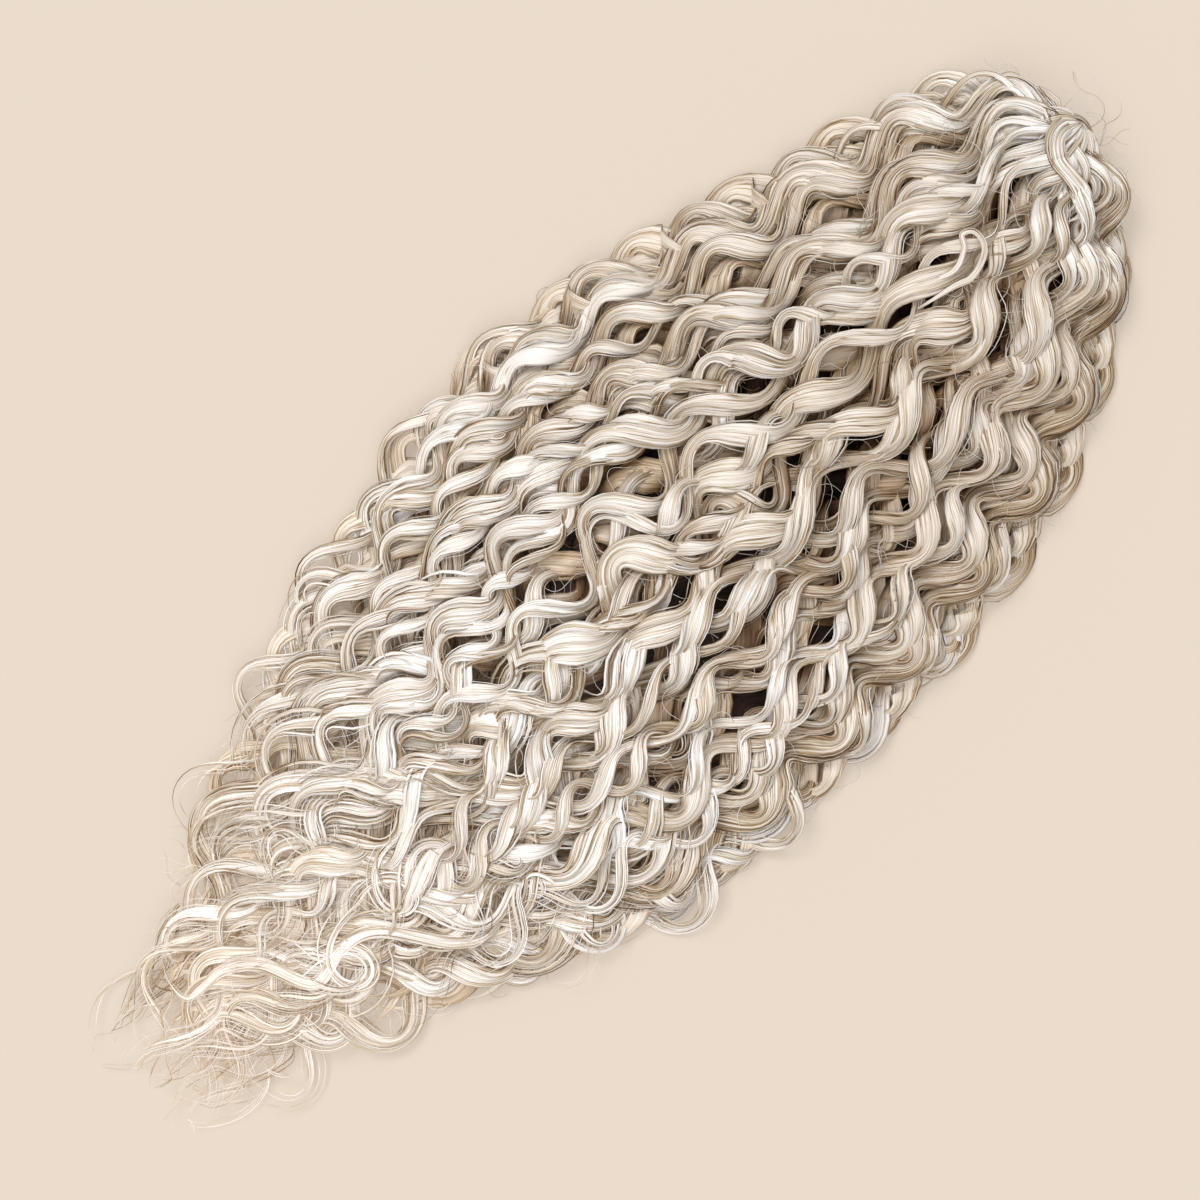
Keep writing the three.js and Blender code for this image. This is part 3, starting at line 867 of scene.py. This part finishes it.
# The lock that loops over the gathered root, and the finer one beside it
LOOP_STRIPS = [
    dict(offset=0.0, size=dict(width=5.2, thickness=1.8, ribs=9, strands=4)),
    dict(offset=3.0, size=dict(width=2.4, thickness=1.8 * 2.4 / 5.2, ribs=4, strands=4)),
]
LOOP = dict(points=16, over_root=0.4, start=-6.0, climb=8.6, climb_share=0.4, tint=-0.8)


def add_loop(mesh, rng):
    plan = smooth_route(LOOP_WAY, LOOP["points"])
    run = unit(np.gradient(plan, axis=0))
    left = np.column_stack([run[:, 1], -run[:, 0]])
    share = np.linspace(0, 1, len(plan))
    for strip in LOOP_STRIPS:
        offset = strip["offset"] + wander(rng, "loop", length_along(plan))
        x, y = (plan + left * offset[:, None]).T
        z = dome_height(x, y) + LOOP["over_root"] * root_height(x, y)
        z = z + LOOP["start"] + LOOP["climb"] * smoothstep(0, LOOP["climb_share"], share)
        add_strip(mesh, np.column_stack([x, y, z]), strip_lock(rng, LOOP["tint"], **strip["size"]), rng)


CURL_HEIGHT = dict(ends=1.5, rise=4.0)  # of the ring curl over the dome
CURL_POINTS = 12
RING_CURL_LEAD = 4  # the lead lock beside which it stands


def add_ring_curl(mesh, rng):
    """The thin lock near the head that stands out in an open ring."""
    plan = smooth_route(RING_CURL_WAY, CURL_POINTS)
    share = np.linspace(0, 1, len(plan))
    z = dome_height(plan[:, 0], plan[:, 1]) + CURL_HEIGHT["ends"]
    z = z + CURL_HEIGHT["rise"] * np.sin(np.pi * share)
    lock = strip_lock(rng, width=1.9, thickness=0.6, ribs=4, strands=5)
    add_strip(mesh, np.column_stack([plan, z]), lock, rng)


RING_ARCS = 6  # side by side in one ring
RING_POINTS = 80
RING_RUN = (-0.7, 1.7)  # along a ring's way, which is once round from 0 to 1, with its ends
RING_TURNS = (-0.3, 1.3)  # places on that way between which it goes round
RING_ADVANCE = 1.8  # radii that a ring moves on in one round
RING_CUT = 20  # most points that an arc loses at an end
RING_HEIGHT = 2.0


def add_tip_rings(mesh, rng):
    """Thin locks near the tips that go once round before they run on."""
    for ring in TIP_RINGS:
        t = np.linspace(*RING_RUN, RING_POINTS)
        shared_turn = wander(rng, "ring_turn", t)
        shared_sway = wander(rng, "ring_sway", t)
        for j in range(RING_ARCS):
            apart = ring["width"] * ((j + 0.5) / RING_ARCS - 0.5)
            turn = 2 * np.pi * smoothstep(*RING_TURNS, t) + shared_turn + wander(rng, "arc_turn", t)
            radius = ring["radius"] + apart + wander(rng, "arc_radius", t)
            x = HEAD_X - ring["from_head"] - RING_ADVANCE * ring["radius"] * (t - 0.5) - radius * np.sin(turn)
            y = ring["y"] + radius * np.cos(turn) + shared_sway + wander(rng, "arc_sway", t)
            z = dome_height(x, y) + RING_HEIGHT + np.sin(turn / 2) + rng.uniform(-0.5, 0.5)
            arc = strip_lock(rng, width=rng.uniform(0.5, 1.0), thickness=0.4, ribs=2)
            arc = replace(arc, tint=rng.normal(0.0, 0.5))
            kept = slice(rng.integers(0, RING_CUT), len(t) - rng.integers(0, RING_CUT))
            add_strip(mesh, np.column_stack([x, y, z])[kept], arc, rng)


SWEEP_POINTS = 10
SWEEP_HEIGHT = 2.5
SWEEP_LOWEST = 1.5
SWEEP_HIDDEN = 0.2  # share of its length in which it comes out from under the others


def add_tip_sweep(mesh, rng):
    """The bright lock that sweeps over the tips."""
    plan = smooth_route(TIP_SWEEP_WAY, SWEEP_POINTS)
    share = np.linspace(0, 1, len(plan))
    z = dome_height(plan[:, 0], plan[:, 1]) + SWEEP_HEIGHT
    z = z - HIDDEN_START * (1 - smoothstep(0, SWEEP_HIDDEN, share))
    sweep = strip_lock(rng, width=4.6, thickness=0.8, ribs=6, strands=10)
    sweep = replace(sweep, tint=-0.3, warm=0.3)
    add_strip(mesh, np.column_stack([plan, np.maximum(z, SWEEP_LOWEST)]), sweep, rng)


# Fine loose hairs
HAIR_TAPER = 0.6  # share of its radius that a hair loses


def add_hair(mesh, points, radius, tint, warm, rng, detail=1.0):
    """One hair along points, thinning towards its end."""
    flat = np.zeros(len(points))
    across, out = frame_along(points, flat)
    line = thin_out(Line(points, across, out, flat, flat, flat, length_along(points), flat), detail)
    share = line.distance / line.distance[-1]
    add_tube(mesh, line, radius * (1 - HAIR_TAPER * share), tint, warm, rng)


WISPS = 14  # small bunches, in each group of tip curls
WISP_HAIRS = 3  # in one bunch
WISP = dict(start=(375, 420), end=(434, 460), curl=(0.10, 0.2), size=(2.5, 6.5), apart=(0.3, 1.6),
            kept=(0.7, 1.0), radius=(0.15, 0.25))
WISP_ROUNDNESS = 0.9  # length of a curl, as a share of its width
WISP_BOB = dict(level=0.6, rise=0.5, size=1.5, rate=0.7)  # up and down, about a share of the dome
WISP_REACH = 4.0  # past the tips
WISP_CLOSES = 0.2 / 50  # share of their distance from the middle that wisps lose in a millimetre
WISP_TINT = (-1.8, 0.8)  # mean and spread


def add_wisps(mesh, group, rng):
    """Small bunches of hairs that curl away past the tips, between two sides."""
    for _ in range(WISPS):
        start = rng.uniform(*WISP["start"])
        from_head = np.arange(start, rng.uniform(*WISP["end"]), FINE_STEP)
        middle, half = outline_at(start)
        arc = from_head - start
        curl = rng.uniform(*WISP["curl"]) * np.where(rng.uniform() < 0.5, -1, 1)
        turn = arc * curl + rng.uniform(0, 6.28) + wander(rng, "wisp_turn", arc)
        size = rng.uniform(*WISP["size"]) * (1 + wander(rng, "wisp_size", arc))
        x = HEAD_X - from_head + WISP_ROUNDNESS * size * np.cos(turn)
        y = middle + rng.uniform(group["low"], group["high"]) * half * (1 - WISP_CLOSES * arc)
        y = y + wander(rng, "wisp_way", arc) + size * np.sin(turn)
        z = WISP_BOB["level"] * dome_height(x, y) + WISP_BOB["rise"]
        z = z + WISP_BOB["size"] * np.sin(WISP_BOB["rate"] * turn)
        tint, warm = rng.normal(*WISP_TINT), rng.uniform(0, 1)
        for _ in range(WISP_HAIRS):
            apart = rng.uniform(*WISP["apart"]) * wander(rng, "wisp_hair", arc)
            points = np.column_stack([np.maximum(x + 0.5 * apart, -HEAD_X - WISP_REACH), y + apart, z])
            points = points[:int(len(points) * rng.uniform(*WISP["kept"]))]
            add_hair(mesh, points, rng.uniform(*WISP["radius"]), tint, warm, rng)


FLYAWAYS = 800
FLYAWAY = dict(from_head=(10, 400), side=(-0.96, 0.96), length=(14, 45), turn=(-2.5, 2.5), height=(-9, 2),
               radius=(0.1, 0.17))
FLYAWAY_SWAY = dict(size=0.8, rate=9)
FLYAWAY_BOB = dict(size=1.2, rate=7)
FLYAWAY_POINTS = 40
FLYAWAY_REACH = 7.0  # past the outline
FLYAWAY_DETAIL = 0.8
FLYAWAY_TINT = (0.3, 0.8)
FEWEST_HAIR_POINTS = 8


def add_flyaways(mesh, rng):
    """Fine hairs that lie across the gaps and stand out past the rim."""
    t = np.linspace(0, 1, FLYAWAY_POINTS)
    for _ in range(FLYAWAYS):
        from_head = rng.uniform(*FLYAWAY["from_head"])
        middle, half = outline_at(from_head)
        side = rng.uniform(*FLYAWAY["side"])
        step = rng.uniform(*FLYAWAY["length"]) / len(t)
        heading = rng.uniform(0, 2 * math.pi) + rng.uniform(*FLYAWAY["turn"]) * t
        heading = heading + FLYAWAY_SWAY["size"] * np.sin(FLYAWAY_SWAY["rate"] * t + rng.uniform(0, 6))
        x = HEAD_X - from_head + np.cumsum(np.cos(heading)) * step
        y = middle + side * half + np.cumsum(np.sin(heading)) * step
        z = dome_height(x, y) + rng.uniform(*FLYAWAY["height"])
        z = z + FLYAWAY_BOB["size"] * np.sin(FLYAWAY_BOB["rate"] * t + rng.uniform(0, 6))
        middles, halves = outline_at(HEAD_X - x)
        is_inside = np.abs(y - middles) < halves + FLYAWAY_REACH
        count = len(t) if is_inside.all() else np.argmin(is_inside)
        if count > FEWEST_HAIR_POINTS:
            points = np.column_stack([x, y, z])[:count]
            radius = rng.uniform(*FLYAWAY["radius"])
            tint, warm = rng.normal(*FLYAWAY_TINT), rng.uniform(0, 1)
            add_hair(mesh, points, radius, tint, warm, rng, FLYAWAY_DETAIL)


# Materials
BROWN_POWERS = (1.0, 1.35, 1.9)  # a darker strand loses more green and blue than red
SHADE_POWERS = (1.0, 1.4, 1.9)  # and so does one in the shade
DARKEST = 0.12
BRIGHTEST = 1.025
FINE_STREAKS = dict(along=0.05, across=3.2, detail=2.0)  # features a millimetre
FINE_CONTRAST = 2.4
PARTINGS = dict(along=0.03, across=1.15, detail=0.0)
PARTING_EDGE = 0.055  # the smaller, the thinner the dark partings
# painted shade in the thin partings
FINE_PARTING_PAINTED_SHADE = 0.62
PARTING_PATCHES = dict(along=0.07, across=0.5, detail=0.0)  # where partings are strong
PATCH_CONTRAST = 3.0
PATCH_MEAN = 0.4
TIP_COLOUR_COMES = (0.25, 0.65)  # shares of the length
FAR_POWER = 5.0  # the larger, the nearer to the tips the effects of thin hair begin
TIP_GLOW = (0.94, 0.88, 0.82, 1)  # light that passes through the fine tips
TIP_GLOW_STRENGTH = 0.40
TIP_CLEARNESS = 0.14  # share of their colour that the tips lose to that light
TIP_SOFTNESS = 0.5  # share of the contrast between strands that is gone at the tips
HEAD_LIGHT = 1.2
HEAD_LIGHT_GOES = (0.05, 0.15)  # shares of the length
ROUGHNESS = dict(sleek=0.41, loose=0.42, dull=0.4, fine=0.2)
GLOSS = 0.5
BUMP_STRENGTH = 0.35
BUMP_DISTANCE = 0.0001

ROOT_TONE = (0.782, 0.737, 0.702)
TIP_TONE = (0.93, 0.93, 0.96)
# The lower layers are warmer, as painted warm shade for the hair that lies underneath
LOW_ROOT_TONE = (0.79, 0.725, 0.655)
LOW_TIP_TONE = (0.92, 0.86, 0.80)
WARM_CAST = (1.0, 0.97, 0.92)
STRAND_CONTRAST = 0.30

# Depth is the share of its light that fibre loses deep in the bundle
FIBRES = {
    "upper_fibre": dict(root=ROOT_TONE, tip=TIP_TONE, depth=0.92),
    "lower_fibre": dict(root=LOW_ROOT_TONE, tip=LOW_TIP_TONE, depth=0.94),
    "tip_fibre": dict(root=ROOT_TONE, tip=TIP_TONE, depth=0.8),
    "root_fibre": dict(root=ROOT_TONE, tip=TIP_TONE, depth=0.9),
}


def link(tree, source, target):
    tree.links.new(source, target)


def set_inputs(node, values):
    for name, value in values.items():
        node.inputs[name].default_value = value


def new_material(name):
    """A material and its shader."""
    material = bpy.data.materials.new(name)
    material.use_nodes = True
    return material, material.node_tree.nodes["Principled BSDF"]


def fibre_group():
    """Colour, glow, roughness and height of hair: root to tip, strand to strand, and darker in the shade."""
    group = bpy.data.node_groups.new("hair fibre", "ShaderNodeTree")
    sockets = group.interface
    for name in ("Root Colour", "Tip Colour", "Warm Cast"):
        sockets.new_socket(name, in_out="INPUT", socket_type="NodeSocketColor")
    for name in ("Strand Contrast", "Depth"):
        sockets.new_socket(name, in_out="INPUT", socket_type="NodeSocketFloat")
    for name in ("Colour", "Glow"):
        sockets.new_socket(name, in_out="OUTPUT", socket_type="NodeSocketColor")
    for name in ("Roughness", "Height"):
        sockets.new_socket(name, in_out="OUTPUT", socket_type="NodeSocketFloat")
    nodes = group.nodes
    inside = nodes.new("NodeGroupInput").outputs
    outside = nodes.new("NodeGroupOutput").inputs

    def feed(socket, value):
        if isinstance(value, (int, float, tuple)):
            socket.default_value = value
        else:
            link(group, value, socket)

    def attribute(name):
        node = nodes.new("ShaderNodeAttribute")
        node.attribute_name = name
        return node.outputs["Fac"]

    def math_node(operation, first, second):
        node = nodes.new("ShaderNodeMath")
        node.operation = operation
        feed(node.inputs[0], first)
        feed(node.inputs[1], second)
        return node.outputs[0]

    times, plus, minus = (partial(math_node, operation) for operation in ("MULTIPLY", "ADD", "SUBTRACT"))

    def mix_colour(blend, factor, first, second):
        node = nodes.new("ShaderNodeMix")
        node.data_type = "RGBA"
        node.blend_type = blend
        factor_in, first_in, second_in = node.inputs[0], node.inputs[6], node.inputs[7]
        feed(factor_in, factor)
        feed(first_in, first)
        feed(second_in, second)
        return node.outputs[2]

    def map_range(value, low, high, start, end):
        node = nodes.new("ShaderNodeMapRange")
        node.interpolation_type = "SMOOTHSTEP"
        set_inputs(node, {"From Min": low, "From Max": high, "To Min": start, "To Max": end})
        link(group, value, node.inputs["Value"])
        return node.outputs["Result"]

    def streak_noise(along, across, detail):
        """Noise about 0, drawn out along the fibre. Along and across are features a millimetre."""
        place = nodes.new("ShaderNodeCombineXYZ")
        link(group, times(attribute("run"), along), place.inputs["X"])
        link(group, times(attribute("lane"), across), place.inputs["Y"])
        noise = nodes.new("ShaderNodeTexNoise")
        set_inputs(noise, {"Scale": 1.0, "Detail": detail})
        link(group, place.outputs["Vector"], noise.inputs["Vector"])
        return minus(noise.outputs["Fac"], 0.5)

    def darkened(colour, value, powers):
        bright = nodes.new("ShaderNodeCombineColor")
        for socket, power in zip(bright.inputs, powers):
            link(group, math_node("POWER", value, power), socket)
        return mix_colour("MULTIPLY", 1.0, colour, bright.outputs["Color"])

    # From root to tip
    tip = map_range(attribute("tip"), *TIP_COLOUR_COMES, 0.0, 1.0)
    far = math_node("POWER", attribute("tip"), FAR_POWER)
    head_light = map_range(attribute("tip"), *HEAD_LIGHT_GOES, HEAD_LIGHT, 1.0)
    colour = mix_colour("MIX", tip, inside["Root Colour"], inside["Tip Colour"])
    colour = mix_colour("MULTIPLY", attribute("warm"), colour, inside["Warm Cast"])

    # Fine streaks, and thin partings where a second noise passes its middle, darkened with painted shade and
    # sunk in the bump
    fine = streak_noise(**FINE_STREAKS)
    parting = map_range(math_node("ABSOLUTE", streak_noise(**PARTINGS), 0.0), 0.0, PARTING_EDGE, 1.0, 0.0)
    strength = times(streak_noise(**PARTING_PATCHES), PATCH_CONTRAST)
    strength = math_node("MAXIMUM", plus(strength, PATCH_MEAN), 0.0)
    parted = times(parting, strength)

    # Tone of each strand, with painted shade in its grooves, partings and edges and on runs underneath
    softer = minus(1.0, times(far, TIP_SOFTNESS))
    contrast = times(softer, inside["Strand Contrast"])
    tint = times(attribute("tint"), contrast)
    fine_tone = minus(times(fine, FINE_CONTRAST), times(parted, FINE_PARTING_PAINTED_SHADE))
    tone = plus(tint, times(fine_tone, softer))
    tone = math_node("MAXIMUM", plus(tone, 1.0), DARKEST)
    tone = math_node("MINIMUM", tone, BRIGHTEST)

    # Light that reaches it
    shade = times(attribute("deep"), inside["Depth"])
    light = minus(1.0, shade)
    light = minus(light, times(far, TIP_CLEARNESS))
    light = times(light, head_light)

    colour = darkened(darkened(colour, tone, BROWN_POWERS), light, SHADE_POWERS)
    glow = darkened(mix_colour("MIX", far, (0, 0, 0, 1), TIP_GLOW), tone, BROWN_POWERS)
    rough = plus(times(attribute("loose"), ROUGHNESS["loose"]), ROUGHNESS["sleek"])
    dull = times(math_node("MAXIMUM", shade, far), ROUGHNESS["dull"])
    rough = plus(rough, dull)
    rough = plus(times(fine, ROUGHNESS["fine"]), rough)
    link(group, colour, outside["Colour"])
    link(group, glow, outside["Glow"])
    link(group, rough, outside["Roughness"])
    link(group, minus(fine, parted), outside["Height"])
    return group


def fibre_material(name, group, root, tip, depth):
    material, shader = new_material(name)
    tree = material.node_tree
    fibre = tree.nodes.new("ShaderNodeGroup")
    fibre.node_tree = group
    set_inputs(fibre, {"Root Colour": (*root, 1), "Tip Colour": (*tip, 1), "Warm Cast": (*WARM_CAST, 1),
                       "Strand Contrast": STRAND_CONTRAST, "Depth": depth})
    bump = tree.nodes.new("ShaderNodeBump")
    set_inputs(bump, {"Strength": BUMP_STRENGTH, "Distance": BUMP_DISTANCE})
    set_inputs(shader, {"Emission Strength": TIP_GLOW_STRENGTH, "Specular IOR Level": GLOSS})
    link(tree, fibre.outputs["Height"], bump.inputs["Height"])
    link(tree, bump.outputs["Normal"], shader.inputs["Normal"])
    for output, target in (("Colour", "Base Color"), ("Roughness", "Roughness"), ("Glow", "Emission Color")):
        link(tree, fibre.outputs[output], shader.inputs[target])
    return material


# Camera, floor and light
PIXEL = 0.33  # millimetres of the object that one pixel of a 1200 pixel frame covers
FRAME_PIXELS = 1200
VIEW_CENTRE = (-4.3, 5.6, 15.0)
VIEW_TURN = math.radians(45.135)  # how far the bundle lies turned in the frame
CAMERA_DISTANCE = 1600.0
SENSOR = 36.0
CLIP_END = 10.0

FLOOR_REACH = 4.0
PAPER = dict(colour=(0.720, 0.628, 0.535), roughness=0.9, gloss=0.1)
PAPER_GLOW = 0.45  # share of the floor's light that comes through from behind, so that shadows stay faint
PAPER_GLOW_STRENGTH = 1.05 * PAPER_GLOW
ROOM = dict(colour=(1.0, 0.98, 0.95), strength=0.52)

# Even lights from far off, from the side that toward points to, each soft by its spread in degrees
SUNS = [
    dict(name="window from the left", toward=(0.1, 1.15, 1.75), spread=28.0, strength=1.32,
         colour=(1.0, 0.985, 0.965)),
    dict(name="soft top", toward=(-0.3, -0.2, 1.0), spread=70.0, strength=1.215,
         colour=(1.0, 0.985, 0.955)),
]


def place_camera():
    data = bpy.data.cameras.new("overhead camera")
    camera = add_object("overhead camera", data)
    data.sensor_width = SENSOR
    data.lens = SENSOR * CAMERA_DISTANCE / (PIXEL * FRAME_PIXELS)
    data.clip_end = CLIP_END
    right = Vector((math.cos(VIEW_TURN), -math.sin(VIEW_TURN), 0))
    up = Vector((math.sin(VIEW_TURN), math.cos(VIEW_TURN), 0))
    turn = Matrix((right, up, (0, 0, 1))).transposed().to_4x4()
    place = (Vector(VIEW_CENTRE) + Vector((0, 0, CAMERA_DISTANCE))) * MM
    camera.matrix_world = Matrix.Translation(place) @ turn
    bpy.context.scene.camera = camera


def soft_sun(name, toward, spread, strength, colour):
    data = bpy.data.lights.new(name, "SUN")
    data.angle = math.radians(spread)
    data.energy = strength
    data.color = colour
    lamp = add_object(name, data)
    lamp.location = toward
    lamp.rotation_euler = Vector(toward).to_track_quat("Z", "Y").to_euler()


def paper_material():
    material, shader = new_material("cream paper")
    set_inputs(shader, {
        "Base Color": (*((1 - PAPER_GLOW) * part for part in PAPER["colour"]), 1),
        "Roughness": PAPER["roughness"],
        "Specular IOR Level": PAPER["gloss"],
        "Emission Color": (*PAPER["colour"], 1),
        "Emission Strength": PAPER_GLOW_STRENGTH})
    return material


def set_stage():
    mesh = bpy.data.meshes.new("paper floor")
    corners = [(-1, -1), (1, -1), (1, 1), (-1, 1)]
    mesh.from_pydata([(FLOOR_REACH * x, FLOOR_REACH * y, 0) for x, y in corners], [], [(0, 1, 2, 3)])
    mesh.materials.append(paper_material())
    add_object("paper_floor", mesh)
    for sun in SUNS:
        soft_sun(**sun)
    world = bpy.data.worlds.new("pale room")
    world.use_nodes = True
    set_inputs(world.node_tree.nodes["Background"],
               {"Color": (*ROOM["colour"], 1), "Strength": ROOM["strength"]})
    bpy.context.scene.world = world
    bpy.context.scene.view_settings.view_transform = "Standard"


place_camera()
set_stage()

# The pieces, each group of them with random runs of its own
UNDER_RUN = 10
TIP_RUN = 20
ROOT_RUN = 30

group = fibre_group()
materials = {slot: fibre_material(slot.replace("_", " "), group, **fibre) for slot, fibre in FIBRES.items()}


def random_run(number):
    return np.random.default_rng((SEED, number))


def dress(piece, slot, nodes):
    piece.data.materials.append(materials[slot])
    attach(piece, "root")
    if nodes:
        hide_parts(*nodes)


for i, lead in enumerate(LEAD_LOCKS):
    rng = random_run(i)
    mesh = HairMesh()
    for lock in top_group(lead, rng):
        add_lock(mesh, lock, rng)
    if i == RING_CURL_LEAD:
        add_ring_curl(mesh, rng)
    dress(mesh.build(f"over_lock_{i + 1}"), "upper_fibre", [f"upper_lock_{i + 1}"])

rng = random_run(UNDER_RUN)
under_hair = {row["piece"]: [] for row in UNDER_LAYERS}
for row in UNDER_LAYERS:
    under_hair[row["piece"]] += under_locks(row, rng)
for name, locks in under_hair.items():
    mesh = HairMesh()
    for lock in locks:
        add_lock(mesh, lock, rng)
    dress(mesh.build(name), "lower_fibre", ["lower_locks"])

for i, tip_group in enumerate(TIP_GROUPS):
    rng = random_run(TIP_RUN + i)
    mesh = HairMesh()
    for lock in tip_locks(tip_group, rng):
        add_lock(mesh, lock, rng)
    add_wisps(mesh, tip_group, rng)
    if tip_group["has_rings"]:
        add_tip_rings(mesh, rng)
        add_tip_sweep(mesh, rng)
    dress(mesh.build(f"tip_wisp_{i + 1}"), "tip_fibre", [f"tip_curl_{i + 1}"])

rng = random_run(ROOT_RUN)
mesh = HairMesh()
add_root(mesh, rng)
dress(mesh.build("root_knot"), "root_fibre", ["root_gather"])

mesh = HairMesh()
add_loop(mesh, rng)
dress(mesh.build("loop_lock"), "root_fibre", ["root_loop"])

mesh = HairMesh()
add_flyaways(mesh, rng)
dress(mesh.build("flyaway_hairs"), "upper_fibre", [])
